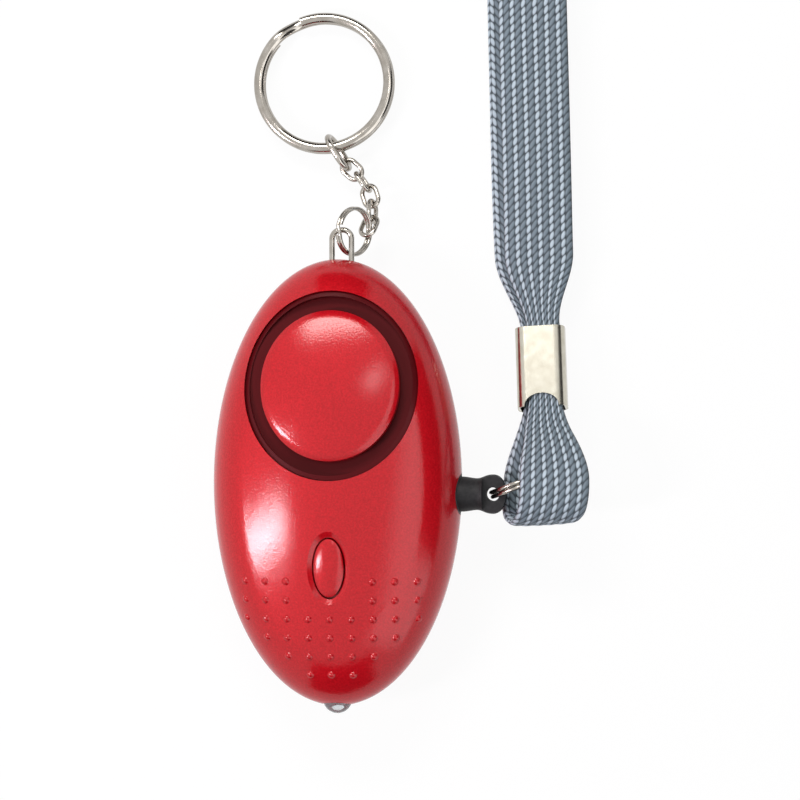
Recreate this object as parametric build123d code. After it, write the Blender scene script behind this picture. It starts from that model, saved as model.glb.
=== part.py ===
from build123d import *
import math
import os

os.makedirs("parts", exist_ok=True)

# The alarm lies on its back. The origin is the middle of its rest face, +Y runs to
# the key ring, +X to the pull plug, +Z up through the front. Lengths in millimetres.

# Case
case_width = 42.0
case_length = 75.0
front_height = 11.5
back_height = 11.3
front_corner = 9.5
back_corner = 9.0
wall = 1.6
rest_cut = 0.3
lip_height = 1.0
overrun = 6.0
fit = 0.1
loose_fit = 0.3
half_width = case_width / 2
half_length = case_length / 2
parting = back_height - rest_cut

# Sound opening
sound_y = 16.4
sound_width = 29.2
sound_length = 31.9
sound_depth = 4.2
sound_floor = 1.0
sound_rim = 0.5
cap_width = 23.2
cap_length = 25.2
cap_rise = 0.5
cap_skirt = 3.4
cap_crown = 1.3
cap_edge = 1.2
cap_stem_radius = 2.4
ring_wall = 0.8
ring_floor = 0.8
ring_below_rim = 0.5

# Light button
button_share = 0.37333
button_y = -button_share * half_length
button_width = 5.0
button_length = 9.7
button_rise = 0.2
button_depth = 2.0
button_crown = 0.3
button_edge = 0.5
button_flange = 0.7
button_flange_height = 0.8
button_stem_radius = 1.2
button_travel = 0.3
dish_width = 7.3
dish_length = 12.5
dish_depth = 0.6

# Grip bumps
bump_width = 1.3
bump_height = 0.35
bump_column_pitch = 3.62
bump_row_share = 0.08373
bump_first_share = 0.432
bump_row_pitch = bump_row_share * half_length
bump_first_y = -bump_first_share * half_length
bump_columns_by_row = [
    (-4, -3, -2, 2, 3, 4),
    (-4, -3, -2, 2, 3, 4),
    (-4, -3, -2, -1, 0, 1, 2, 3, 4),
    (-3, -2, -1, 0, 1, 2, 3),
    (-2, -1, 0, 1, 2),
    (-1, 0, 1),
]

# Siren
siren_width = 22.0
siren_plate = 0.3
ceramic_width = 15.0
ceramic_thickness = 0.25
siren_frame_wall = 1.0
siren_frame_lip = 1.0
siren_frame_height = 1.6

# Circuit board and what stands on it
board_width = 19.0
board_in = 10.5
board_start = board_in - half_length
board_end = 4.5
board_thickness = 1.0
board_top = -2.0
switch_side = 6.0
switch_height = 4.6
plunger_radius = 1.7
plunger_height = 1.2
coil_radius = 3.0
coil_height = 6.0
coil_place = (-5.6, -2.5)
chip_size = (4.0, 5.0, 1.5)
chip_in = 6.5
chip_place = (4.6, board_start + chip_in)
small_part_size = (1.2, 2.0, 0.8)
small_part_pitch = 2.6
small_part_count = 4
small_part_in = 4.5
small_part_start = (-6.5, board_start + small_part_in)

# Cells
cell_radius = 5.8
cell_height = 5.4
cell_count = 3
cell_edge = 0.4
cell_gap = 0.05
cells_y = 12.5
cells_drop = 2.25
tray_wall = 0.8
spring_wire = 0.35
spring_radius = 3.0
spring_turns = 3
spring_length = 2.6
plate_thickness = 0.3
plate_width = 8.0

# Lamp
lamp_radius = 2.5
lamp_length = 8.6
lamp_flange_radius = 2.9
lamp_flange = 1.0
lamp_out = 1.3
lamp_lead = 0.5
lamp_lead_pitch = 2.54

# Screws
screw_head_radius = 2.0
screw_head_height = 1.3
screw_radius = 1.0
screw_length = 8.0
screw_seat = -4.0
boss_radius = 2.5
screw_places = [(-9.6, 27.6), (9.6, 27.6), (-13.2, -11.5), (13.2, -11.5)]
cross_slot = 0.6
thread_gap = 0.02

lead_wire = 0.9

# Pull plug
plug_y = -1.9
plug_root_radius = 2.95
plug_waist_radius = 2.7
plug_end_radius = 3.3
plug_waist_out = 3.0
plug_waist_x = half_width + plug_waist_out
plug_flare_out = 5.2
plug_flare_x = half_width + plug_flare_out
plug_end_out = 7.5
plug_end_x = half_width + plug_end_out
eye_out = 5.3
eye_x = half_width + eye_out
eye_radius = 1.15
eye_thickness = 2.6
eye_flat_out = 3.6
eye_flat_x = half_width + eye_flat_out
pin_radius = 1.8
pin_tip_radius = 0.9
pin_straight_in = 5.5
pin_straight_x = half_width - pin_straight_in
pin_tip_in = 10.6
pin_tip_x = half_width - pin_tip_in
pull_travel = 18.0
guide_radius = 3.4
guide_inner_in = 4.6
guide_inner_x = half_width - guide_inner_in
guide_flange_radius = 4.2
guide_flange = 1.0
pin_clearance = 0.08

# Contact leaves
leaf_thickness = 0.25
leaf_width = 2.4
leaf_in = 8.4
leaf_x = half_width - leaf_in
leaf_length = 6.4
leaf_foot = 1.6
leaf_gap = 0.12
leaf_travel = 0.8
leaf_arm_drop = 1.2

# Plug ring
plug_ring_wire = 0.72
plug_ring_radius = 5.1
plug_ring_drop = 1.7
plug_ring_turn = 20.0
coil_gap = 0.04
ring_cross_angle = 14.0

# Key loop
key_wire = 0.95
key_x = 0.7
key_legs = 3.3
key_out = 5.4
key_top_y = half_length + key_out
key_in = 5.9
key_foot_y = half_length - key_in
key_foot = 1.6
anchor_width = 9.6
anchor_depth = 3.4
anchor_in = 2.9
anchor_y = half_length - anchor_in

# Small ring on the key loop
loop_ring_wire = 0.6
loop_ring_radius = 3.9
loop_ring_hang = 0.86
loop_ring_lean = 57.0
loop_ring_heading = 175.0

# Chain: five small links from the small ring down to the floor, then a larger link
link_wire = 0.8
link_inner_length = 3.0
link_inner_width = 1.8
link_slack = 0.1
ring_set_back = 0.45
link_headings = [(72.0, -28.0), (91.0, -24.0), (110.0, -16.0), (126.0, -8.0), (139.0, -2.0)]
hook_wire = 1.1
hook_inner_length = 5.2
hook_inner_width = 3.6
hook_heading = 122.0
hook_set_back = 0.3

# Split ring
split_radius = 11.15
split_wire_width = 1.8
split_wire_height = 1.4
split_heading = 100.0
split_set_back = 0.6
split_end_heading = 125.0

# Strap: its own frame starts at the lower end of the crimp, s runs to the loop's far end
strap_width = 11.8
strap_thickness = 1.8
crimp_out = 13.4
crimp_x = half_width + crimp_out
crimp_y = 12.4
strap_turn = 3.3
crimp_length = 13.8
crimp_width = 8.4
crimp_wall = 0.5
crimp_low_z = 8.3
crimp_high_z = 5.0
crimp_layer_gap = 0.1
crimp_arch_radius = 2.9
crimp_arch_height = 2.2
neck_width = 6.6
neck_flare = 13.0
neck_end = 0.8
loop_lean = 0.45
loop_drift = 0.13
leg_lean = 0.575
leg_drift = 0.034
strap_join_s = 6.6
strap_end_gap = 0.4
loop_route = [
    (6.2, 7.82),
    (-1.6, 9.5),
    (-6.6, 13.7),
    (-13.0, 16.6),
    (-17.6, 15.8),
    (-19.0, 12.1),
    (-17.4, 8.5),
    (-12.2, 8.3),
    (-6.2, 8.0),
    (-0.8, 7.5),
    (6.8, 5.72),
]
leg_route = [
    (6.8, 7.7),
    (14.4, 5.65),
    (24.0, 5.1),
    (42.0, 5.2),
    (78.0, 4.9),
    (122.0, 5.1),
    (146.0, 5.0),
    (157.0, 5.6),
    (162.4, 6.2),
    (165.6, 3.7),
    (162.6, 1.1),
    (155.0, 1.0),
    (140.0, 1.12),
    (104.0, 1.0),
    (60.0, 1.12),
    (34.0, 1.05),
    (20.0, 2.0),
    (14.2, 3.9),
    (6.4, 5.75),
]
ring_neck_radius = 4.8
ring_neck_out = 17.8
ring_neck_x = half_width + ring_neck_out
ring_neck_y = 1.9
ring_neck_top = 12.6


def crown_radius(width, height, corner):
    run = width - corner
    return (run ** 2 + height ** 2 - corner ** 2) / (2 * (height - corner))


def dome(width, length, height, corner):
    """Half of an egg: a crown arc and a side arc turned about Z, then drawn out along Y."""
    crown = crown_radius(width, height, corner)
    reach = crown / (crown - corner)
    run = width - corner
    join = (run * reach, height - crown + (crown - height) * reach)
    side = TangentArc((width, 0), join, tangent=(0, 1))
    top = TangentArc(join, (0, height), tangent=side % 1)
    floor = Polyline((0, height), (0, 0), (width, 0))
    face = make_face([*side.edges(), *top.edges(), *floor.edges()])
    solid = revolve(Plane.XZ * face, Axis.Z)
    return scale(solid, by=(1, length / width, 1))


def dome_z(x, y, grow=0):
    """Height of the front's surface above the parting plane."""
    width = half_width + grow
    length = half_length + grow
    height = front_height + grow
    corner = front_corner + grow
    crown = crown_radius(width, height, corner)
    radius = math.hypot(x, y * width / length)
    run = width - corner
    if radius < run * crown / (crown - corner):
        return height - crown + math.sqrt(crown ** 2 - radius ** 2)
    return math.sqrt(max(corner ** 2 - (radius - run) ** 2, 0))


def dome_plane(y):
    """Plane on the front's surface above the centre line, with its normal outward."""
    step = half_length / 1000
    slope = (dome_z(0, y + step) - dome_z(0, y - step)) / (2 * step)
    tilt = math.atan(slope)
    return Plane(
        origin=(0, y, dome_z(0, y)),
        x_dir=(1, 0, 0),
        z_dir=(0, -math.sin(tilt), math.cos(tilt)),
    )


def front_dome(inset=0):
    return dome(half_width - inset, half_length - inset, front_height - inset, front_corner - inset)


def back_dome(inset=0):
    solid = dome(half_width - inset, half_length - inset, back_height - inset, back_corner - inset)
    return mirror(solid, about=Plane.XY)


def oval(width, length, height):
    """Upright oval column standing on the local plane."""
    return extrude(Ellipse(width / 2, length / 2), height)


def oval_cap(width, length, skirt, crown, edge):
    """Oval button body: flat base, upright skirt, rounded edge and a slightly domed top."""
    radius = width / 2
    top_radius = radius - edge
    bulge = (top_radius ** 2 + crown ** 2) / (2 * crown)
    low = skirt - crown - edge / 2
    shoulder = (top_radius, skirt - crown)
    top = RadiusArc((0, skirt), shoulder, bulge)
    lift = top % 1
    corner = TangentArc(shoulder, (radius, low), tangent=lift)
    base = Polyline((radius, low), (radius, 0), (0, 0), (0, skirt))
    face = make_face([*top.edges(), *corner.edges(), *base.edges()])
    return scale(revolve(Plane.XZ * face, Axis.Z), by=(1, length / width, 1))


def column(x, y, z, radius, height):
    return Pos(x, y, z) * Cylinder(radius, height, align=(Align.CENTER, Align.CENTER, Align.MIN))


def rod_x(x, y, z, radius, length):
    return Pos(x, y, z) * Rot(0, 90, 0) * Cylinder(radius, length, align=(Align.CENTER, Align.CENTER, Align.MIN))


def rod_y(x, y, z, radius, length):
    return Pos(x, y, z) * Rot(-90, 0, 0) * Cylinder(radius, length, align=(Align.CENTER, Align.CENTER, Align.MIN))


def block(low, high):
    size = [high[i] - low[i] for i in range(3)]
    centre = [(high[i] + low[i]) / 2 for i in range(3)]
    return Pos(*centre) * Box(*size)


def round_wire(path, wire):
    return sweep((path ^ 0) * Circle(wire / 2), path=path)


def double_ring(radius, width, height, step):
    """Ring of two flat turns of wire, one on the other, that cross over once beside its two ends."""
    low = -step / 2
    first = Pos(0, 0, low) * CenterArc((0, 0, 0), radius, ring_cross_angle, 360 - 2 * ring_cross_angle)
    second = Pos(0, 0, -low) * CenterArc((0, 0, 0), radius, ring_cross_angle, 360 - 2 * ring_cross_angle)
    middle = (radius, 0, 0)
    cross = Spline(first @ 1, middle, second @ 0, tangents=[first % 1, second % 0])
    path = Wire([*first.edges(), *cross.edges(), *second.edges()])
    section = Plane(origin=first @ 0, x_dir=(0, 0, 1), z_dir=first % 0) * Ellipse(height / 2, width / 2)
    return sweep(section, path=path)


def oval_link(inner_length, inner_width, wire):
    """Chain link of round wire, long along X, flat in XY, about its own centre."""
    path = SlotOverall(inner_length + wire, inner_width + wire).wire()
    return round_wire(path, wire)


sound_plane = dome_plane(sound_y)
button_plane = dome_plane(button_y)
button_top = dome_z(0, button_y) + button_rise


def make_front_shell():
    shell = front_dome() - front_dome(wall)
    rebate = oval(case_width - wall, case_length - wall, lip_height + fit)
    cup = sound_plane * Pos(0, 0, -sound_depth - sound_floor) * oval(
        sound_width + 2 * sound_floor, sound_length + 2 * sound_floor, sound_depth + sound_floor
    )
    shell = shell + (cup & front_dome(wall / 2))
    for x, y in screw_places:
        boss = column(x, y, screw_seat + wall + fit, boss_radius, front_height - screw_seat)
        boss = boss & (front_dome(wall / 2) + back_dome(wall + fit))
        shell = shell + boss - column(x, y, screw_seat, screw_radius + thread_gap, screw_length + fit)
    anchor = block(
        (key_x - anchor_width / 2, anchor_y - anchor_depth / 2, 0),
        (key_x + anchor_width / 2, anchor_y + anchor_depth / 2, front_height),
    )
    shell = shell + (anchor & front_dome(wall / 2))
    inside = oval(case_width - 2 * wall - 4 * fit, case_length - 2 * wall - 4 * fit, lip_height + fit)
    shell = shell - (rebate - inside)
    shell = shell - sound_plane * Pos(0, 0, -sound_depth) * oval(sound_width, sound_length, overrun + sound_depth)
    shell = shell - sound_plane * Pos(0, 0, -sound_depth - 2 * sound_floor) * oval(
        2 * (cap_stem_radius + fit), 2 * (cap_stem_radius + fit), 3 * sound_floor
    )
    dish = loft(
        [
            Pos(0, 0, -dish_depth) * Ellipse(button_width / 2 + loose_fit, button_length / 2 + loose_fit).face(),
            Pos(0, 0, dish_depth) * Ellipse(dish_width - button_width / 2, dish_length - button_length / 2).face(),
        ]
    )
    shell = shell - button_plane * dish
    shell = shell - Pos(0, button_y, front_height / 2) * oval(
        button_width + 2 * loose_fit, button_length + 2 * loose_fit, front_height
    )
    bump_radius = ((bump_width / 2) ** 2 + bump_height ** 2) / (2 * bump_height)
    step = half_length / 1000
    bumps = []
    for row, columns in enumerate(bump_columns_by_row):
        for place in columns:
            x = place * bump_column_pitch
            y = bump_first_y - row * bump_row_pitch
            slope_x = (dome_z(x + step, y) - dome_z(x - step, y)) / (2 * step)
            slope_y = (dome_z(x, y + step) - dome_z(x, y - step)) / (2 * step)
            normal = Vector(-slope_x, -slope_y, 1).normalized()
            centre = Vector(x, y, dome_z(x, y)) - normal * (bump_radius - bump_height)
            bumps.append(Pos(*centre) * Sphere(bump_radius))
    shell = shell + bumps
    return shell - case_openings(fit)


def case_openings(clearance):
    """What both shells leave open round the parting plane: lamp, plug guide and key loop."""
    lamp_hole = rod_y(0, -half_length - overrun, 0, lamp_radius + clearance, lamp_length + overrun)
    flange_y = -half_length - lamp_out + lamp_length - lamp_flange
    flange = rod_y(0, flange_y - clearance, 0, lamp_flange_radius + clearance, lamp_flange + 2 * clearance)
    guide = rod_x(guide_inner_x - clearance, plug_y, 0, guide_radius + clearance, half_width)
    holes = lamp_hole + flange + guide
    for side in (-1, 1):
        holes = holes + rod_y(
            key_x + side * key_legs / 2, key_foot_y, 0, key_wire / 2 + clearance, half_length
        )
    return holes


def make_rear_shell():
    shell = back_dome() - back_dome(wall)
    lip = oval(case_width - wall - 2 * fit, case_length - wall - 2 * fit, lip_height)
    lip = lip - oval(case_width - 2 * wall - 2 * fit, case_length - 2 * wall - 2 * fit, lip_height)
    shell = shell + lip
    for x, y in screw_places:
        seat = screw_seat - screw_head_height
        boss = column(x, y, -back_height, boss_radius + wall / 2, back_height + screw_seat + wall)
        shell = shell + (boss & back_dome(wall / 2))
    anchor = block(
        (key_x - anchor_width / 2, anchor_y - anchor_depth / 2, -back_height),
        (key_x + anchor_width / 2, anchor_y + anchor_depth / 2, 0),
    )
    shell = shell + (anchor & back_dome(wall / 2))
    for x, y in screw_places:
        shell = shell - column(x, y, -2 * back_height, screw_head_radius + loose_fit, 2 * back_height + screw_seat)
        shell = shell - column(x, y, screw_seat - wall, screw_radius + fit, 3 * wall)
    shell = shell - block(
        (-half_width, -half_length, -2 * back_height), (half_width, half_length, -parting)
    )
    board_rest = board_top - board_thickness - fit
    for side in (-1, 1):
        for y in (board_start + wall + boss_radius, board_end - wall):
            post = column(side * (board_width / 2 - wall), y, -back_height, wall, back_height + board_rest)
            shell = shell + (post & back_dome(wall / 2))
    return shell - case_openings(fit)


def make_speaker_cap():
    body = Pos(0, 0, -cap_skirt + cap_rise) * oval_cap(cap_width, cap_length, cap_skirt, cap_crown, cap_edge)
    stem_height = sound_depth + sound_floor - cap_skirt + cap_rise
    stem = Pos(0, 0, -sound_depth - sound_floor) * oval(2 * cap_stem_radius, 2 * cap_stem_radius, stem_height)
    return sound_plane * (body + stem)


def make_sound_ring():
    outer = sound_plane * Pos(0, 0, -sound_depth) * oval(sound_width - 2 * fit, sound_length - 2 * fit, sound_depth)
    inner = sound_plane * Pos(0, 0, ring_floor - sound_depth) * oval(
        sound_width - 2 * fit - 2 * ring_wall, sound_length - 2 * fit - 2 * ring_wall, overrun
    )
    stem = sound_plane * Pos(0, 0, -sound_depth - fit) * oval(
        2 * (cap_stem_radius + fit), 2 * (cap_stem_radius + fit), 2 * ring_floor
    )
    ring = (outer & front_dome(ring_below_rim)) - inner - stem
    return ring


def siren_level():
    return -sound_depth - sound_floor - fit - siren_frame_height


def make_siren_frame():
    outer = siren_width / 2 + siren_frame_wall
    height = siren_frame_height
    ring = oval(2 * outer, 2 * outer, height)
    ring = ring - oval(siren_width - 2 * siren_frame_lip, siren_width - 2 * siren_frame_lip, height)
    seat = siren_plate + fit
    ring = ring - Pos(0, 0, height / 2) * oval(siren_width + 2 * fit, siren_width + 2 * fit, seat)
    notch = Box(siren_width, siren_width, height, align=(Align.CENTER, Align.CENTER, Align.MIN))
    half = Pos(0, siren_width / 2 + outer, 0) * notch
    return sound_plane * Pos(0, 0, siren_level()) * (ring - half)


def make_siren_disc():
    place = sound_plane * Pos(0, 0, siren_level() + siren_frame_height / 2 + fit / 2)
    return place * oval(siren_width, siren_width, siren_plate)


def make_siren_ceramic():
    place = sound_plane * Pos(0, 0, siren_level() + siren_frame_height / 2 + fit / 2 - ceramic_thickness)
    return place * oval(ceramic_width, ceramic_width, ceramic_thickness)


def make_light_button():
    height = button_depth
    cap = button_plane * Pos(0, 0, button_rise - height) * oval_cap(
        button_width, button_length, height, button_crown, button_edge
    )
    end_y = button_y - button_length / 2 - button_flange
    flange_top = dome_z(button_width / 2, end_y) - wall - 2 * loose_fit
    flange = Pos(0, button_y, flange_top - button_flange_height) * oval(
        button_width + 2 * button_flange, button_length + 2 * button_flange, button_flange_height
    )
    neck = Pos(0, button_y, flange_top - button_flange_height) * oval(
        button_width - button_edge, button_length - button_edge, button_top - button_depth - flange_top + 2 * button_flange_height
    )
    plunger_top = board_top + switch_height + plunger_height
    stem = column(0, button_y, plunger_top, button_stem_radius, flange_top - plunger_top)
    return cap + flange + neck + stem


def make_switch_body():
    body = block(
        (-switch_side / 2, button_y - switch_side / 2, board_top),
        (switch_side / 2, button_y + switch_side / 2, board_top + switch_height),
    )
    return body - column(0, button_y, board_top + switch_height / 2, plunger_radius + fit, switch_height)


def make_switch_plunger():
    low = board_top + switch_height / 2 + button_travel + fit
    return column(0, button_y, low, plunger_radius, board_top + switch_height + plunger_height - low)


def make_circuit_board():
    board = block(
        (-board_width / 2, board_start, board_top - board_thickness),
        (board_width / 2, board_end, board_top),
    )
    return board


def make_step_up_coil():
    x, y = coil_place
    core = column(x, y, board_top, coil_radius, coil_height)
    groove = column(x, y, board_top + coil_height / 4, coil_radius, coil_height / 2)
    return core - (groove - column(x, y, board_top, coil_radius * 5 / 6, coil_height))


def make_board_parts():
    x, y = chip_place
    pieces = [
        Pos(x, y, board_top) * Box(*chip_size, align=(Align.CENTER, Align.CENTER, Align.MIN))
    ]
    for step in range(small_part_count):
        place = Pos(small_part_start[0] + step * small_part_pitch, small_part_start[1], board_top)
        pieces.append(place * Box(*small_part_size, align=(Align.CENTER, Align.CENTER, Align.MIN)))
    return Compound(pieces)


def make_lamp():
    tip = -half_length - lamp_out
    body = rod_y(0, tip + lamp_radius, 0, lamp_radius, lamp_length - lamp_radius)
    dome_end = Pos(0, tip + lamp_radius, 0) * Sphere(lamp_radius)
    flange = rod_y(0, tip + lamp_length - lamp_flange, 0, lamp_flange_radius, lamp_flange)
    return body + dome_end + flange


def make_lamp_leads():
    start = -half_length - lamp_out + lamp_length
    leads = []
    for side in (-1, 1):
        x = side * lamp_lead_pitch / 2
        low = board_top
        leads.append(
            block((x - lamp_lead / 2, start, -lamp_lead / 2), (x + lamp_lead / 2, board_start + wall, lamp_lead / 2))
            + block((x - lamp_lead / 2, board_start + wall - lamp_lead, low), (x + lamp_lead / 2, board_start + wall, 0))
        )
    return Compound(leads)


def cells_low_x():
    return -cell_count * cell_height / 2 - (cell_count - 1) * cell_gap / 2


def make_battery_cells():
    cells = []
    for step in range(cell_count):
        x = cells_low_x() + step * (cell_height + cell_gap)
        cell = rod_x(x, cells_y, -cells_drop, cell_radius, cell_height)
        cells.append(fillet(cell.edges().filter_by(GeomType.CIRCLE), cell_edge))
    return Compound(cells)


def tray_reach():
    return -cells_low_x() + spring_length + plate_thickness + tray_wall + fit


def make_battery_tray():
    reach = tray_reach()
    side = cell_radius + tray_wall + fit
    tray = block((-reach, cells_y - side, -back_height), (reach, cells_y + side, -cells_drop))
    inner = reach - tray_wall
    hollow = block((-inner, cells_y - cell_radius - fit, -cells_drop), (inner, cells_y + cell_radius + fit, 0))
    tray = tray - rod_x(-inner, cells_y, -cells_drop, cell_radius + fit, 2 * inner) - hollow
    tray = tray & back_dome(wall + fit)
    for x, y in screw_places:
        tray = tray - column(x, y, -2 * back_height, boss_radius + wall, 4 * back_height)
    return tray


def make_battery_spring():
    pitch = (spring_length - spring_wire) / spring_turns
    path = Helix(pitch, pitch * spring_turns, spring_radius)
    coil = sweep((path ^ 0) * Circle(spring_wire / 2), path=path, is_frenet=True)
    x = -cells_low_x() + spring_wire / 2 + cell_gap
    return Pos(x, cells_y, -cells_drop) * Rot(0, 90, 0) * coil


def make_battery_plate():
    x = cells_low_x() - cell_gap
    half = plate_width / 2
    plate = block((x - plate_thickness, cells_y - half, -cells_drop - half), (x, cells_y + half, -cells_drop + half))
    return plate


def make_case_screws():
    screws = []
    for x, y in screw_places:
        head = column(x, y, screw_seat - screw_head_height, screw_head_radius, screw_head_height)
        shank = column(x, y, screw_seat, screw_radius, screw_length)
        screw = head + shank
        for turn in (0, 90):
            slot = Box(2 * screw_head_radius - 2 * cross_slot, cross_slot, cross_slot)
            screw = screw - Pos(x, y, screw_seat - screw_head_height) * Rot(0, 0, turn) * slot
        screws.append(screw)
    return Compound(screws)


def make_pin_guide():
    length = half_width - guide_inner_x
    body = rod_x(guide_inner_x, plug_y, 0, guide_radius, half_width)
    body = body & (front_dome() + back_dome())
    flange = rod_x(guide_inner_x - guide_flange, plug_y, 0, guide_flange_radius, guide_flange)
    bore = rod_x(0, plug_y, 0, pin_radius + pin_clearance, case_width)
    mouth = rod_x(half_width - length / 3, plug_y, 0, plug_root_radius + fit, length)
    return body + flange - bore - mouth


def make_pull_plug():
    root_x = half_width - (half_width - guide_inner_x) / 3 + fit
    profile = Polyline(
        (pin_tip_x, 0),
        (pin_tip_x, pin_tip_radius),
        (pin_straight_x, pin_radius),
        (root_x, pin_radius),
        (root_x, plug_root_radius),
        (half_width, plug_root_radius),
    )
    waist = Spline(
        (half_width, plug_root_radius),
        (plug_waist_x, plug_waist_radius),
        (plug_flare_x, plug_end_radius),
        tangents=[(1, 0), (1, 0)],
    )
    end = Polyline((plug_flare_x, plug_end_radius), (plug_end_x, plug_end_radius), (plug_end_x, 0), (pin_tip_x, 0))
    body = revolve(make_face([*profile.edges(), *waist.edges(), *end.edges()]), Axis.X)
    side = 2 * plug_end_radius
    for turn in (0, 180):
        cheek = block((eye_flat_x, -side, eye_thickness / 2), (plug_end_x + side, side, side))
        body = body - Rot(turn, 0, 0) * cheek
    rounding = block((eye_x, -side, -side), (plug_end_x + side, side, side))
    round_end = scale(
        column(0, 0, -side, plug_end_radius, 2 * side), by=((plug_end_x - eye_x) / plug_end_radius, 1, 1)
    )
    body = body - (rounding - Pos(eye_x, 0, 0) * round_end)
    body = body - column(eye_x, 0, -side, eye_radius, 2 * side)
    return Pos(0, plug_y, 0) * body


def leaf_face():
    """Distance from the pin's axis to the faces of both leaves."""
    share = (leaf_x + leaf_width / 2 - pin_tip_x) / (pin_straight_x - pin_tip_x)
    return pin_tip_radius + (pin_radius - pin_tip_radius) * share + leaf_gap


def make_fixed_leaf():
    """Upright leaf with an arm over the pin, on which the moving leaf closes."""
    low = board_top
    face = plug_y - leaf_face()
    top = low + leaf_length
    near = leaf_x - leaf_width / 2
    far = leaf_x + leaf_width / 2
    leaf = block((near, face - leaf_thickness, low), (far, face, top))
    foot = block((near, face - leaf_foot, low), (far, face, low + leaf_thickness))
    arm = block((near, face - leaf_thickness, top - leaf_thickness), (far, plug_y + leaf_face() - leaf_travel, top))
    tongue_low = top - leaf_arm_drop
    tongue_y = plug_y + leaf_face() - leaf_travel
    tongue = block((near, tongue_y - leaf_thickness, tongue_low), (far, tongue_y, top))
    return leaf + foot + arm + tongue


def make_moving_leaf():
    """Leaf that the pin holds off. It swings about its own foot."""
    low = board_top + fit
    face = plug_y + leaf_face()
    near = leaf_x - leaf_width / 2
    far = leaf_x + leaf_width / 2
    leaf = block((near, face, low), (far, face + leaf_thickness, board_top + leaf_length))
    return leaf


def make_plug_ring():
    ring = double_ring(plug_ring_radius, plug_ring_wire, plug_ring_wire, plug_ring_wire + coil_gap)
    away = math.sqrt((plug_ring_radius - plug_ring_wire / 5) ** 2 - plug_ring_drop ** 2)
    place = Pos(eye_x, plug_y, -plug_ring_drop) * Rot(0, 0, plug_ring_turn) * Pos(away, 0, 0)
    return place * Rot(90, 0, 0) * ring


def make_key_loop():
    half = key_legs / 2
    path = FilletPolyline(
        (key_x - half - key_foot, key_foot_y - key_wire, 0),
        (key_x - half, key_foot_y - key_wire, 0),
        (key_x - half, key_top_y - key_wire / 2, 0),
        (key_x + half, key_top_y - key_wire / 2, 0),
        (key_x + half, key_foot_y - key_wire, 0),
        (key_x + half + key_foot, key_foot_y - key_wire, 0),
        radius=[key_wire, half * 9 / 10, half * 9 / 10, key_wire],
    )
    return round_wire(path, key_wire)


def loop_ring_place():
    """Frame of the small ring: its centre, a level direction in it, and its way to the top."""
    heading = math.radians(loop_ring_heading)
    lean = math.radians(loop_ring_lean)
    rise = Vector(math.cos(heading) * math.cos(lean), math.sin(heading) * math.cos(lean), math.sin(lean))
    level = Vector(math.sin(heading), -math.cos(heading), 0)
    top = Vector(key_x - key_wire / 3, key_top_y - key_wire / 2, key_wire / 2 + loop_ring_hang)
    centre = top - rise * loop_ring_radius
    return centre, level, rise


def make_loop_ring():
    centre, level, rise = loop_ring_place()
    plane = Plane(origin=centre, x_dir=rise, z_dir=rise.cross(level))
    ring = double_ring(loop_ring_radius, loop_ring_wire, loop_ring_wire, loop_ring_wire + coil_gap)
    return plane * ring


def heading_vector(heading, dip):
    flat = math.cos(math.radians(dip))
    turn = math.radians(heading)
    return Vector(flat * math.cos(turn), flat * math.sin(turn), math.sin(math.radians(dip)))


def chain_frames():
    """Centre, direction and flat normal of each small link. Each link straddles the wire before it."""
    centre, level, rise = loop_ring_place()
    start = centre - rise * (loop_ring_radius - loop_ring_wire / 2 - ring_set_back)
    pitch = link_inner_length - link_slack
    wire_run = level
    frames = []
    for heading, dip in link_headings:
        along = heading_vector(heading, dip)
        normal = (wire_run - along * wire_run.dot(along)).normalized()
        frames.append((start + along * (pitch / 2), along, normal))
        start = start + along * pitch
        wire_run = along.cross(normal)
    return frames, start, wire_run


def make_chain_link(step):
    frames, _, _ = chain_frames()
    centre, along, normal = frames[step]
    return Plane(origin=centre, x_dir=along, z_dir=normal) * oval_link(link_inner_length, link_inner_width, link_wire)


def hook_frame():
    _, start, wire_run = chain_frames()
    along = heading_vector(hook_heading, 0)
    normal = (wire_run - along * wire_run.dot(along)).normalized()
    lean = math.sqrt(1 - normal.Z ** 2)
    height = (hook_inner_width + hook_wire) / 2 * lean + hook_wire / 2 - parting
    reach = start + along * (hook_inner_length / 2 - hook_set_back)
    return Vector(reach.X, reach.Y, height), along, normal


def make_hook_link():
    centre, along, normal = hook_frame()
    return Plane(origin=centre, x_dir=along, z_dir=normal) * oval_link(hook_inner_length, hook_inner_width, hook_wire)


def split_ring_frame():
    centre, along, _ = hook_frame()
    near = centre + along * (hook_inner_length / 2 - split_wire_width / 2 - split_set_back)
    drop = near.Z + parting - split_wire_height - coil_gap
    tilt = math.degrees(math.asin(drop / (2 * split_radius + split_wire_width)))
    away = heading_vector(split_heading, -tilt)
    return near + away * split_radius, tilt


def make_split_ring():
    middle, tilt = split_ring_frame()
    coil = double_ring(split_radius, split_wire_width, split_wire_height, split_wire_height + coil_gap)
    turn = Rot(0, 0, split_heading) * Rot(0, tilt, 0) * Rot(0, 0, split_end_heading - split_heading)
    return Pos(*middle) * turn * coil


def strap_place():
    return Pos(crimp_x, crimp_y, -parting) * Rot(0, 0, strap_turn)


def crimp_tilt():
    return math.degrees(math.atan((crimp_high_z - crimp_low_z) / crimp_length))


def corner_radii(points):
    """Each arc is as large as its two runs allow."""
    radii = []
    for before, here, after in zip(points, points[1:], points[2:]):
        run_in = here - before
        run_out = after - here
        turn = math.radians(run_in.get_angle(run_out))
        radii.append(0.45 * min(run_in.length, run_out.length) / math.tan(turn / 2))
    return radii


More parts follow.
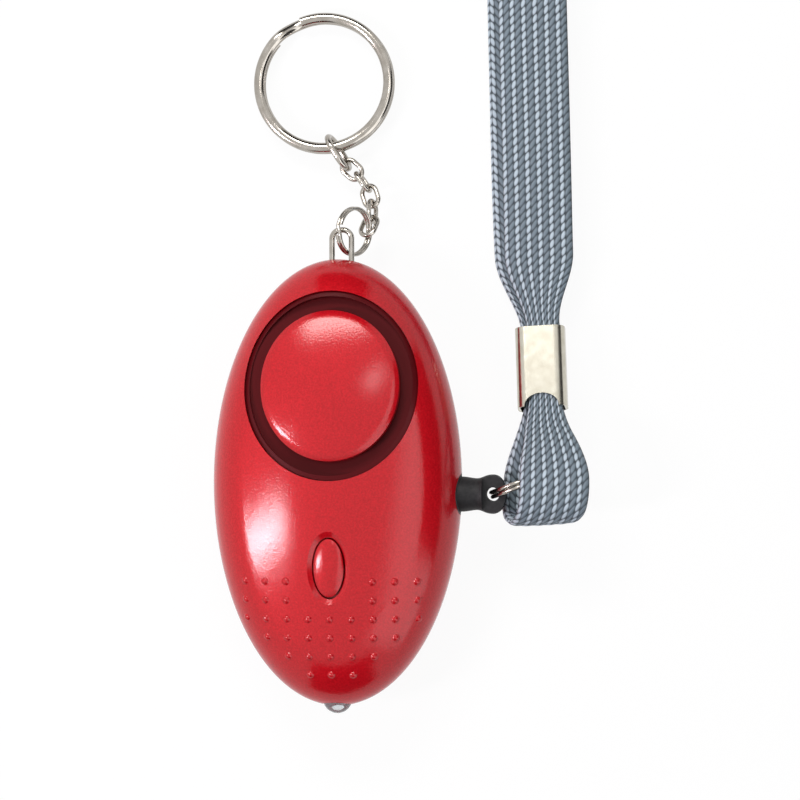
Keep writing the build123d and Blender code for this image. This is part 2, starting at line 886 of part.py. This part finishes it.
def strap_band(route, lean, middle_z, drift, start_s):
    """Flat band along the route. It leans sideways with height, as the layers lie beside each other."""
    points = [Vector(lean * (z - middle_z) + drift * (s - start_s), s, z) for s, z in route]
    radii = corner_radii(points)
    print("strap radii", " ".join(f"{radius:.1f}" for radius in radii))
    path = FilletPolyline(*points, radius=radii)
    across = (path % 0).cross(Vector(1, -drift, -lean)).normalized()
    half = strap_thickness * math.hypot(1, lean) / 2
    face = sweep(Line(points[0] - across * half, points[0] + across * half), path=path)
    band = extrude(face, amount=strap_width, dir=(1, 0, 0))
    expected = strap_thickness * strap_width * path.length
    print("strap volume", round(band.volume, 1), "of", round(expected, 1), "length", round(path.length, 1))
    return Pos(-strap_width / 2, 0, 0) * band


def neck_cutter(side):
    """Cuts one long edge of the strap in to the crimp's width, with a curve out to the full width."""
    half = neck_width / 2
    wide = strap_width * 2 / 3
    outer = strap_width + neck_flare / 2
    edge = FilletPolyline(
        (side * wide, -neck_flare),
        (side * half, -neck_end),
        (side * half, crimp_length + neck_end),
        (side * wide, crimp_length + neck_flare),
        radius=[neck_flare, neck_flare],
    )
    back = Polyline(
        (side * wide, crimp_length + neck_flare),
        (side * outer, crimp_length + neck_flare),
        (side * outer, -neck_flare),
        (side * wide, -neck_flare),
    )
    return extrude(make_face([*edge.edges(), *back.edges()]), 2 * parting)


def make_wrist_strap():
    middle = crimp_low_z
    loop = strap_band(loop_route, loop_lean, middle, loop_drift, 0)
    legs = strap_band(leg_route, leg_lean, crimp_high_z, leg_drift, crimp_length)
    far = 2 * leg_route[9][0]
    side = 2 * strap_width
    lower = block((-side, -far, -side), (side, strap_join_s, 2 * side))
    upper = block((-side, strap_join_s, -side), (side, far, 2 * side))
    strap = (loop & lower) + (legs & upper)
    tilt = math.radians(crimp_tilt())
    gap_z = crimp_low_z + strap_join_s * math.tan(tilt)
    strap = strap - block(
        (-side, strap_join_s - strap_end_gap / 2, gap_z), (side, strap_join_s + strap_end_gap / 2, 2 * parting)
    )
    for hand in (-1, 1):
        strap = strap - neck_cutter(hand)
    strap = strap_place() * strap
    return strap - column(ring_neck_x, ring_neck_y, -parting, ring_neck_radius, ring_neck_top)


def make_strap_crimp():
    height = 2 * strap_thickness + crimp_layer_gap + 2 * fit + 2 * crimp_wall
    outer = RectangleRounded(crimp_width, height, height * 3 / 8)
    inner = RectangleRounded(crimp_width - 2 * crimp_wall, height - 2 * crimp_wall, crimp_wall)
    sleeve = extrude(outer - inner, crimp_length)
    sleeve = Plane(origin=(0, 0, 0), x_dir=(1, 0, 0), z_dir=(0, 1, 0)) * sleeve
    arch = scale(column(0, 0, 0, crimp_arch_radius, height), by=(1, crimp_arch_height / crimp_arch_radius, 1))
    sleeve = sleeve - arch
    return strap_place() * Pos(0, 0, crimp_low_z) * Rot(crimp_tilt(), 0, 0) * sleeve


def make_siren_leads():
    leads = []
    top = sound_plane.from_local_coords(Vector(0, 0, siren_level() - fit)).Z
    for side in (-1, 1):
        x = side * (siren_width / 2 - 3 * siren_frame_lip)
        path = Spline(
            (x, sound_y - siren_width * 2 / 5, top),
            (side * (board_width / 2 - wall), board_end, top - 2 * lead_wire),
            (side * (board_width / 2 - wall), board_end - wall, board_top + lead_wire / 2),
        )
        leads.append(round_wire(path, lead_wire))
    return Compound(leads)


def place_in_frame(shape):
    return Pos(0, 0, parting) * shape


nodes = {
    "front_shell": make_front_shell,
    "rear_shell": make_rear_shell,
    "speaker_cap": make_speaker_cap,
    "sound_ring": make_sound_ring,
    "siren_frame": make_siren_frame,
    "siren_disc": make_siren_disc,
    "siren_ceramic": make_siren_ceramic,
    "siren_leads": make_siren_leads,
    "light_button": make_light_button,
    "switch_body": make_switch_body,
    "switch_plunger": make_switch_plunger,
    "circuit_board": make_circuit_board,
    "step_up_coil": make_step_up_coil,
    "board_parts": make_board_parts,
    "lamp": make_lamp,
    "lamp_leads": make_lamp_leads,
    "battery_cells": make_battery_cells,
    "battery_tray": make_battery_tray,
    "battery_spring": make_battery_spring,
    "battery_plate": make_battery_plate,
    "case_screws": make_case_screws,
    "pin_guide": make_pin_guide,
    "pull_plug": make_pull_plug,
    "fixed_leaf": make_fixed_leaf,
    "moving_leaf": make_moving_leaf,
    "plug_ring": make_plug_ring,
    "key_loop": make_key_loop,
    "loop_ring": make_loop_ring,
    "hook_link": make_hook_link,
    "split_ring": make_split_ring,
    "wrist_strap": make_wrist_strap,
    "strap_crimp": make_strap_crimp,
}

for step in range(len(link_headings)):
    nodes[f"chain_link_{step + 1}"] = lambda step=step: make_chain_link(step)

if __name__ == "__main__":
    for name, make in nodes.items():
        export_step(place_in_frame(make()), f"parts/{name}.step")
        print("wrote", name)
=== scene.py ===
import bpy
import math
import mathutils
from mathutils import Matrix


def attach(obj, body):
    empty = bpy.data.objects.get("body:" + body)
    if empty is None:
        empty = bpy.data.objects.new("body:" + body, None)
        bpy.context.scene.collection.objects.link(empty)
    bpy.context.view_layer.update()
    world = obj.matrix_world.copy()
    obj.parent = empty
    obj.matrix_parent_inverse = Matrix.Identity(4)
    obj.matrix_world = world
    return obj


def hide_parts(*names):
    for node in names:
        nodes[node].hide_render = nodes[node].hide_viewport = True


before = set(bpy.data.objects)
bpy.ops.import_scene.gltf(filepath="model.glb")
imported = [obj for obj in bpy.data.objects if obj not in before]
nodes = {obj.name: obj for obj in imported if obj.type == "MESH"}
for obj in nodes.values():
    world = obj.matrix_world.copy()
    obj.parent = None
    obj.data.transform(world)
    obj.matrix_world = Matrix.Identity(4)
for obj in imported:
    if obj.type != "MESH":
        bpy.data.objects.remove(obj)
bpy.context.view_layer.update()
mm = 0.001
print("frame loaded")


# Materials

finish = {
    "coatRoughness": 0.13,
    "speckleDetail": 3.0,
    "speckleFrom": 0.35,
    "speckleTo": 0.7,
    "speckleDepth": 0.0001,
}


def makeMaterial(name, color, metallic, roughness, coat=0.0, transmission=0.0):
    material = bpy.data.materials.new(name)
    material.use_nodes = True
    surface = material.node_tree.nodes["Principled BSDF"]
    surface.inputs["Base Color"].default_value = (*color, 1)
    surface.inputs["Metallic"].default_value = metallic
    surface.inputs["Roughness"].default_value = roughness
    surface.inputs["Coat Weight"].default_value = coat
    surface.inputs["Coat Roughness"].default_value = finish["coatRoughness"]
    surface.inputs["Transmission Weight"].default_value = transmission
    return material


def setSpecular(material, level):
    material.node_tree.nodes["Principled BSDF"].inputs["Specular IOR Level"].default_value = level


def addSpeckle(material, low, high, scale, bump):
    tree = material.node_tree
    surface = tree.nodes["Principled BSDF"]
    place = tree.nodes.new("ShaderNodeTexCoord")
    noise = tree.nodes.new("ShaderNodeTexNoise")
    noise.inputs["Scale"].default_value = scale
    noise.inputs["Detail"].default_value = finish["speckleDetail"]
    ramp = tree.nodes.new("ShaderNodeValToRGB")
    ramp.color_ramp.elements[0].position = finish["speckleFrom"]
    ramp.color_ramp.elements[0].color = (*low, 1)
    ramp.color_ramp.elements[1].position = finish["speckleTo"]
    ramp.color_ramp.elements[1].color = (*high, 1)
    rough = tree.nodes.new("ShaderNodeBump")
    rough.inputs["Strength"].default_value = bump
    rough.inputs["Distance"].default_value = finish["speckleDepth"]
    tree.links.new(place.outputs["Object"], noise.inputs["Vector"])
    tree.links.new(noise.outputs["Fac"], ramp.inputs["Fac"])
    tree.links.new(ramp.outputs["Color"], surface.inputs["Base Color"])
    tree.links.new(noise.outputs["Fac"], rough.inputs["Height"])
    tree.links.new(rough.outputs["Normal"], surface.inputs["Normal"])


redPearl = makeMaterial("redPearl", (0.50, 0.006, 0.012), 0.15, 0.45, coat=0.75)
setSpecular(redPearl, 0.02)
addSpeckle(redPearl, (0.40, 0.002, 0.007), (0.54, 0.005, 0.012), 3200.0, 0.2)
redTree = redPearl.node_tree
redCoat = redTree.nodes["Principled BSDF"].inputs["Coat Normal"]
redTree.links.new(redTree.nodes["Bump"].outputs["Normal"], redCoat)
blackPlug = makeMaterial("blackPlug", (0.014, 0.014, 0.015), 0.0, 0.55)
setSpecular(blackPlug, 0.25)
addSpeckle(blackPlug, (0.010, 0.010, 0.011), (0.018, 0.018, 0.019), 1800.0, 0.15)
darkRing = makeMaterial("darkRing", (0.08, 0.004, 0.006), 0.0, 0.28)
setSpecular(darkRing, 0.1)
clearLamp = makeMaterial("clearLamp", (0.82, 0.86, 0.88), 0.0, 0.06, transmission=0.85)
nickel = makeMaterial("nickel", (0.42, 0.39, 0.35), 1.0, 0.16)
addSpeckle(nickel, (0.37, 0.34, 0.30), (0.47, 0.44, 0.40), 700.0, 0.03)
# A brighter copy of nickel for the crimp: its extra brightness is a painted highlight on the crimp.
crimpNickelPaintedHighlight = makeMaterial("crimpNickelPaintedHighlight", (0.56, 0.53, 0.45), 1.0, 0.2)
addSpeckle(crimpNickelPaintedHighlight, (0.52, 0.49, 0.41), (0.60, 0.57, 0.49), 700.0, 0.03)
steel = makeMaterial("steel", (0.58, 0.58, 0.58), 1.0, 0.35)
brass = makeMaterial("brass", (0.72, 0.52, 0.24), 1.0, 0.3)
boardGreen = makeMaterial("boardGreen", (0.03, 0.18, 0.07), 0.0, 0.45)
ceramicWhite = makeMaterial("ceramicWhite", (0.82, 0.82, 0.78), 0.0, 0.5)
innerBlack = makeMaterial("innerBlack", (0.03, 0.03, 0.032), 0.0, 0.55)

materialUse = {
    redPearl: ["front_shell", "rear_shell", "speaker_cap", "light_button"],
    blackPlug: ["pull_plug"],
    darkRing: ["sound_ring"],
    clearLamp: ["lamp"],
    crimpNickelPaintedHighlight: ["strap_crimp"],
    nickel: ["key_loop", "loop_ring", "hook_link", "split_ring", "plug_ring"]
    + [f"chain_link_{step}" for step in range(1, 6)],
    steel: ["lamp_leads", "battery_cells", "battery_spring", "battery_plate", "case_screws"],
    brass: ["siren_disc", "fixed_leaf", "moving_leaf"],
    boardGreen: ["circuit_board"],
    ceramicWhite: ["siren_ceramic", "switch_plunger"],
    innerBlack: ["siren_frame", "siren_leads", "switch_body", "step_up_coil", "board_parts"]
    + ["battery_tray", "pin_guide"],
}
for material, names in materialUse.items():
    for name in names:
        nodes[name].data.materials.clear()
        nodes[name].data.materials.append(material)
print("materials on the CAD pieces")


# Wrist strap: a braided band along the same line as the CAD strap. Lengths in millimetres; the line's
# points are distance along the strap's direction and height, and a lean gives their sideways shift.

strap = {
    "place": (34.4, 12.4),
    "turn": 3.3,
    "width": 11.6,
    "thickness": 1.5,
    "bead": 0.1,
    "columns": 6,
    "beadPart": 0.42,
    "beadSlant": -0.5,
    "strandSlant": -0.9,
    "pitch": 1.36,
    "neck": 5.6,
    "neckFrom": (-12.0, 2.0),
    "neckTo": (14.0, 26.0),
    "acrossSteps": 30,
    "beadSteps": 4,
    "lineSteps": 24,
    "squareness": 6,
    "beadFade": 8,
    "crownShare": 0.75,
    "merge": 0.01,
    "legLean": (0.575, 5.0, 0.034, 13.8),
    "loopLean": (0.45, 8.3, 0.13, 0.0),
    "legs": [
        (6.8, 7.7), (14.4, 5.65), (24.0, 5.1), (42.0, 5.2), (78.0, 4.9), (122.0, 5.1),
        (146.0, 5.0), (157.0, 5.6), (162.4, 6.2), (165.6, 3.7), (162.6, 1.1), (155.0, 1.0),
        (140.0, 1.12), (104.0, 1.0), (60.0, 1.12), (34.0, 1.05), (20.0, 2.0), (14.2, 3.9),
        (6.4, 5.75),
    ],
    "loop": [
        (-0.8, 7.5), (-6.2, 8.0), (-12.2, 8.3), (-17.4, 8.5), (-19.0, 12.1), (-17.6, 15.8),
        (-13.0, 16.6), (-6.6, 13.7), (-1.6, 9.5), (6.2, 7.82),
    ],
}


def strapPoint(side, along, height):
    turn = math.radians(strap["turn"])
    x = strap["place"][0] + side * math.cos(turn) - along * math.sin(turn)
    y = strap["place"][1] + side * math.sin(turn) + along * math.cos(turn)
    return mathutils.Vector((x * mm, y * mm, height * mm))


def sideShift(lean, along, height):
    perHeight, middleHeight, perAlong, middleAlong = lean
    return perHeight * (height - middleHeight) + perAlong * (along - middleAlong)


controls = [strapPoint(sideShift(strap["legLean"], s, z), s, z) for s, z in strap["legs"]]
controls += [strapPoint(sideShift(strap["loopLean"], s, z), s, z) for s, z in strap["loop"]]
lineData = bpy.data.curves.new("strapLine", "CURVE")
lineData.dimensions = "3D"
lineData.resolution_u = strap["lineSteps"]
line = lineData.splines.new("NURBS")
line.points.add(len(controls) - 1)
for point, place in zip(line.points, controls):
    point.co = (*place, 1)
line.order_u = 3
line.use_endpoint_u = True
lineObject = bpy.data.objects.new("strapLine", lineData)
bpy.context.scene.collection.objects.link(lineObject)
bpy.context.view_layer.update()
lineMesh = bpy.data.meshes.new_from_object(lineObject)
rawPath = [vertex.co.copy() for vertex in lineMesh.vertices]
bpy.data.objects.remove(lineObject)


def evenPath(points, step):
    result = [points[0]]
    left = step
    for start, end in zip(points, points[1:]):
        run = (end - start).length
        done = 0.0
        while run - done >= left:
            done += left
            result.append(start.lerp(end, done / run))
            left = step
        left -= run - done
    return result


strapStep = strap["pitch"] / strap["beadSteps"]
path = evenPath(rawPath, strapStep * mm)


def strapWidth(place):
    turn = math.radians(strap["turn"])
    x = place.x / mm - strap["place"][0]
    y = place.y / mm - strap["place"][1]
    along = -x * math.sin(turn) + y * math.cos(turn)
    low, lowEnd = strap["neckFrom"]
    high, highEnd = strap["neckTo"]
    share = 0.0
    if along < lowEnd:
        share = min(max((lowEnd - along) / (lowEnd - low), 0), 1)
    if along > high:
        share = min((along - high) / (highEnd - high), 1)
    share = share * share * (3 - 2 * share)
    return strap["neck"] + (strap["width"] - strap["neck"]) * share


def makeStrap():
    across = strap["acrossSteps"]
    around = 2 * across + 2
    count = len(path)
    bpy.ops.mesh.primitive_grid_add(x_subdivisions=count - 1, y_subdivisions=around, size=1)
    band = bpy.context.object
    band.name = "wristStrapBraid"
    mesh = band.data
    turn = math.radians(strap["turn"])
    sideways = mathutils.Vector((math.cos(turn), math.sin(turn), 0))

    def gridPlace(index):
        place = mesh.vertices[index].co
        return round(place.y, 6), round(place.x, 6)

    order = sorted(range(len(mesh.vertices)), key=gridPlace)
    for rank, index in enumerate(order):
        row, step = divmod(rank, count)
        here = path[step]
        before = path[max(step - 1, 0)]
        after = path[min(step + 1, count - 1)]
        ahead = (after - before).normalized()
        up = sideways.cross(ahead).normalized()
        width = strapWidth(here)
        ring = row % around
        upper = ring <= across
        share = ring / across if upper else (2 * across + 1 - ring) / across
        edge = abs(2 * share - 1)
        crown = strap["crownShare"]
        roundness = max(1 - edge ** strap["squareness"], 0.0) * crown + (1 - crown) * (1 - edge)
        body = strap["thickness"] / 2 * math.sqrt(roundness)
        dome = abs(math.sin(math.pi * share * strap["columns"]))
        lift = body + strap["bead"] * dome * (1 - edge ** strap["beadFade"])
        sign = 1 if upper else -1
        mesh.vertices[index].co = here + sideways * (share - 0.5) * width * mm + up * sign * lift * mm
    bpy.ops.object.mode_set(mode="EDIT")
    bpy.ops.mesh.select_all(action="SELECT")
    bpy.ops.mesh.remove_doubles(threshold=strap["merge"] * mm)
    bpy.ops.mesh.select_all(action="SELECT")
    bpy.ops.mesh.normals_make_consistent(inside=False)
    bpy.ops.object.mode_set(mode="OBJECT")
    bpy.ops.object.shade_smooth()
    return band


# Braid colours by pattern height: the gap colour is painted shade between strands and beads, the
# strand colour is the cord's own tone, and the bead colour is a painted highlight on the bead crowns.
braidLook = {
    "paintedGapShade": (0.045, 0.06, 0.072),
    "strand": (0.175, 0.225, 0.265),
    "bead": (0.47, 0.56, 0.63),
    "colorFrom": 0.1,
    "colorTo": 0.75,
    "acrossPower": 2.4,
    "acrossDrop": 3.6,
    "alongPower": 2.0,
    "alongDrop": 3.4,
    "bump": 0.7,
    "depth": 0.0003,
}


def addBraidPattern(material):
    tree = material.node_tree
    surface = tree.nodes["Principled BSDF"]
    uv = tree.nodes.new("ShaderNodeUVMap")
    split = tree.nodes.new("ShaderNodeSeparateXYZ")
    tree.links.new(uv.outputs["UV"], split.inputs["Vector"])

    def calc(operation, first, second=0.0):
        node = tree.nodes.new("ShaderNodeMath")
        node.operation = operation
        for socket, value in ((node.inputs[0], first), (node.inputs[1], second)):
            if isinstance(value, (int, float)):
                socket.default_value = value
            else:
                tree.links.new(value, socket)
        return node.outputs["Value"]

    def oval(acrossShare, alongShare, slant):
        sideways = calc("SUBTRACT", acrossShare, 0.5)
        slanted = calc("ADD", alongShare, calc("MULTIPLY", sideways, slant))
        lengthways = calc("SUBTRACT", calc("FRACT", slanted), 0.5)
        flat = calc("POWER", calc("ABSOLUTE", sideways), braidLook["acrossPower"])
        flat = calc("MULTIPLY", flat, braidLook["acrossDrop"])
        long = calc("POWER", calc("ABSOLUTE", lengthways), braidLook["alongPower"])
        long = calc("MULTIPLY", long, braidLook["alongDrop"])
        return calc("SUBTRACT", 1.0, calc("ADD", flat, long))

    def paintedShadeByHeight(height, high):
        ramp = tree.nodes.new("ShaderNodeValToRGB")
        ramp.color_ramp.elements[0].position = braidLook["colorFrom"]
        ramp.color_ramp.elements[0].color = (*braidLook["paintedGapShade"], 1)
        ramp.color_ramp.elements[1].position = braidLook["colorTo"]
        ramp.color_ramp.elements[1].color = (*high, 1)
        tree.links.new(height, ramp.inputs["Fac"])
        return ramp.outputs["Color"]

    around = 2 * strap["acrossSteps"] + 2
    share = calc("PINGPONG", calc("MULTIPLY", split.outputs["Y"], around / strap["acrossSteps"]), 1.0)
    column = calc("FRACT", calc("MULTIPLY", share, strap["columns"]))
    beads = calc("MULTIPLY", split.outputs["X"], (len(path) - 1) / strap["beadSteps"])
    beadPart = strap["beadPart"]
    inBead = calc("LESS_THAN", column, beadPart)
    beadHeight = oval(calc("DIVIDE", column, beadPart), beads, strap["beadSlant"])
    strandShare = calc("DIVIDE", calc("SUBTRACT", column, beadPart), 1 - beadPart)
    strandHeight = oval(strandShare, calc("ADD", beads, 0.5), strap["strandSlant"])
    # Each ramp runs from painted shade in the gaps up to the strand's tone or the bead's painted
    # highlight on the crowns.
    mix = tree.nodes.new("ShaderNodeMix")
    mix.data_type = "RGBA"
    tree.links.new(inBead, mix.inputs["Factor"])
    tree.links.new(paintedShadeByHeight(strandHeight, braidLook["strand"]), mix.inputs[6])
    tree.links.new(paintedShadeByHeight(beadHeight, braidLook["bead"]), mix.inputs[7])
    lower = calc("MULTIPLY", calc("SUBTRACT", 1.0, inBead), strandHeight)
    height = calc("ADD", calc("MULTIPLY", inBead, beadHeight), lower)
    rough = tree.nodes.new("ShaderNodeBump")
    rough.inputs["Strength"].default_value = braidLook["bump"]
    rough.inputs["Distance"].default_value = braidLook["depth"]
    tree.links.new(height, rough.inputs["Height"])
    tree.links.new(mix.outputs[2], surface.inputs["Base Color"])
    tree.links.new(rough.outputs["Normal"], surface.inputs["Normal"])


braid = makeMaterial("braid", (0.30, 0.36, 0.40), 0.0, 0.7)
addBraidPattern(braid)
band = makeStrap()
band.data.materials.clear()
band.data.materials.append(braid)
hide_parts("wrist_strap")
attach(band, "strap")
print("strap braided")


# Stage, light and camera. Lengths in metres.

stage = {
    "floorSize": 4,
    "floorDrop": 0.00005,
    "floorShare": 0.94,
    "cardSize": 0.34,
    "worldColor": (0.92, 0.94, 0.97, 1),
    "worldStrength": 0.3,
    "whiteStrength": 1.0,
}


def seenRays(tree):
    rays = tree.nodes.new("ShaderNodeLightPath")
    found = rays.outputs["Is Camera Ray"]
    for name in ("Is Glossy Ray", "Is Transmission Ray"):
        either = tree.nodes.new("ShaderNodeMath")
        either.operation = "MAXIMUM"
        tree.links.new(found, either.inputs[0])
        tree.links.new(rays.outputs[name], either.inputs[1])
        found = either.outputs["Value"]
    return found


bpy.ops.mesh.primitive_plane_add(size=stage["floorSize"], location=(0, 0, -stage["floorDrop"]))
floor = bpy.context.object
floor.name = "floor"
floorMaterial = makeMaterial("floorMaterial", (0.9, 0.9, 0.9), 0.0, 0.9)
floorTree = floorMaterial.node_tree
glow = floorTree.nodes.new("ShaderNodeEmission")
glow.inputs["Strength"].default_value = stage["whiteStrength"]
floorShare = floorTree.nodes.new("ShaderNodeMath")
floorShare.operation = "MULTIPLY"
floorShare.inputs[1].default_value = stage["floorShare"]
floorMix = floorTree.nodes.new("ShaderNodeMixShader")
floorTree.links.new(seenRays(floorTree), floorShare.inputs[0])
floorTree.links.new(floorShare.outputs["Value"], floorMix.inputs["Fac"])
floorTree.links.new(floorTree.nodes["Principled BSDF"].outputs["BSDF"], floorMix.inputs[1])
floorTree.links.new(glow.outputs["Emission"], floorMix.inputs[2])
floorTree.links.new(floorMix.outputs["Shader"], floorTree.nodes["Material Output"].inputs["Surface"])
floor.data.materials.append(floorMaterial)

# Dark cards beside the view, for the metal and the case's flanks to mirror
cardMaterial = makeMaterial("cardMaterial", (0.02, 0.02, 0.02), 0.0, 0.9)
cards = {
    "cardRight": ((0.34, 0.05, 0.2), (0, math.radians(90), 0)),
    "cardTop": ((0.0, 0.42, 0.2), (math.radians(90), 0, 0)),
    "cardLow": ((0.0, -0.36, 0.16), (math.radians(90), 0, 0)),
}
for name, (place, turn) in cards.items():
    bpy.ops.mesh.primitive_plane_add(size=stage["cardSize"], location=place, rotation=turn)
    card = bpy.context.object
    card.name = name
    card.data.materials.append(cardMaterial)
    card.visible_camera = False


# Each light's place, the point it faces, its width and length, its power in watts and its colour
lights = {
    "overhead": ((-0.06, 0.39, 0.4), (0, 0.01, 0), (0.28, 0.16), 2.1, (1.0, 0.98, 0.95)),
    "capGlint": ((0.125, 0.17, 0.52), (0.005, 0.016, 0.02), (0.04, 0.1), 0.1, (1.0, 0.97, 0.97)),
    "leftWindow": ((-0.34, -0.09, 0.42), (0, 0, 0), (0.05, 0.2), 1.5, (1.0, 0.90, 0.98)),
    "rightFill": ((0.6, -0.2, 0.5), (0, 0, 0), (0.9, 0.9), 3.6, (0.97, 0.98, 1.0)),
}


def addLight(name, place, aim, size, energy, color):
    data = bpy.data.lights.new(name, "AREA")
    data.shape = "RECTANGLE"
    data.size, data.size_y = size
    data.energy = energy
    data.color = color
    light = bpy.data.objects.new(name, data)
    bpy.context.scene.collection.objects.link(light)
    light.location = place
    direction = mathutils.Vector(aim) - mathutils.Vector(place)
    light.rotation_euler = direction.to_track_quat("-Z", "Y").to_euler()


for name, values in lights.items():
    addLight(name, *values)

world = bpy.data.worlds.new("studio")
bpy.context.scene.world = world
world.use_nodes = True
tree = world.node_tree
background = tree.nodes["Background"]
background.inputs["Color"].default_value = stage["worldColor"]
background.inputs["Strength"].default_value = stage["worldStrength"]
white = tree.nodes.new("ShaderNodeBackground")
white.inputs["Color"].default_value = (1, 1, 1, 1)
white.inputs["Strength"].default_value = stage["whiteStrength"]
mix = tree.nodes.new("ShaderNodeMixShader")
tree.links.new(seenRays(tree), mix.inputs["Fac"])
tree.links.new(background.outputs["Background"], mix.inputs[1])
tree.links.new(white.outputs["Background"], mix.inputs[2])
tree.links.new(mix.outputs["Shader"], tree.nodes["World Output"].inputs["Surface"])

view = {
    "lean": 7.5,
    "distance": 0.6,
    "centre": (0.01057, 0.01384, 0.011),
    "field": 0.1342,
    "sensor": 36,
    "clip": 0.01,
}
lean = math.radians(view["lean"])
cameraData = bpy.data.cameras.new("camera")
camera = bpy.data.objects.new("camera", cameraData)
bpy.context.scene.collection.objects.link(camera)
camera.location = (
    view["centre"][0] + view["distance"] * math.sin(lean),
    view["centre"][1],
    view["centre"][2] + view["distance"] * math.cos(lean),
)
camera.rotation_euler = (0, lean, 0)
cameraData.sensor_width = view["sensor"]
cameraData.lens = view["sensor"] * view["distance"] / view["field"]
cameraData.clip_start = view["clip"]
bpy.context.scene.camera = camera
bpy.context.scene.view_settings.view_transform = "Standard"
print("stage set")
